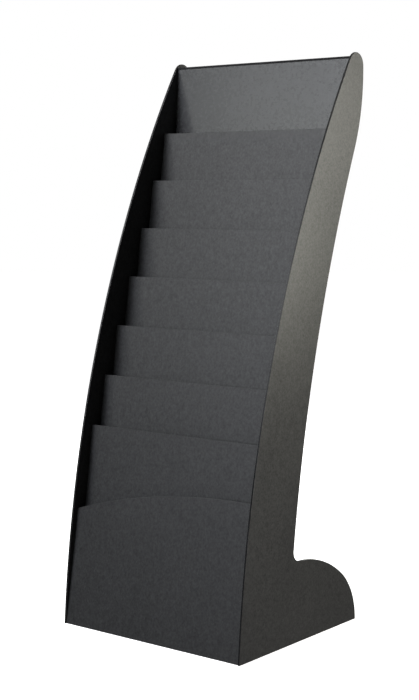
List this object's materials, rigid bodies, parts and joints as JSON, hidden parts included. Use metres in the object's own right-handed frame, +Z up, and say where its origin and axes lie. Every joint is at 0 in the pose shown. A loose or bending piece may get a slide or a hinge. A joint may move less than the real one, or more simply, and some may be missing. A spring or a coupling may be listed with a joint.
{
  "type": "brochure rack",
  "caption": "Free-standing floor rack for brochures: two curved side panels carry a staircase of full-width sheet pockets, an arched front and a closed foot at the rear.",
  "frame": {"origin": "centre of the footprint box, on the floor", "axes": "+Z up; the front, where brochures are taken, faces -Y; +X to the right as seen from the front"},
  "size_m": [0.45, 0.4076, 1.155],
  "materials": {
    "side_panels": "grained black moulded sheet",
    "pocket_sheets": "grained black moulded sheet",
    "covers": "grained black moulded sheet",
    "blocks": "plain black moulded",
    "screws": "zinc plated",
    "pads": "soft black"
  },
  "bodies": {
    "root": {"left_side_panel": "side_panels", "right_side_panel": "side_panels", "back_panel": "pocket_sheets", "pocket_front_1": "pocket_sheets", "pocket_front_2": "pocket_sheets", "pocket_front_3": "pocket_sheets", "pocket_front_4": "pocket_sheets", "pocket_front_5": "pocket_sheets", "pocket_front_6": "pocket_sheets", "pocket_front_7": "pocket_sheets", "arched_front_panel": "pocket_sheets", "pocket_shelf_1": "pocket_sheets", "pocket_shelf_2": "pocket_sheets", "pocket_shelf_3": "pocket_sheets", "pocket_shelf_4": "pocket_sheets", "pocket_shelf_5": "pocket_sheets", "pocket_shelf_6": "pocket_sheets", "pocket_shelf_7": "pocket_sheets", "pocket_shelf_8": "pocket_sheets", "top_cap": "covers", "rear_cover": "covers", "foot_cover": "covers", "base_panel": "covers", "corner_blocks": "blocks", "base_screws": "screws", "floor_pads": "pads"}
  },
  "joints": []
}
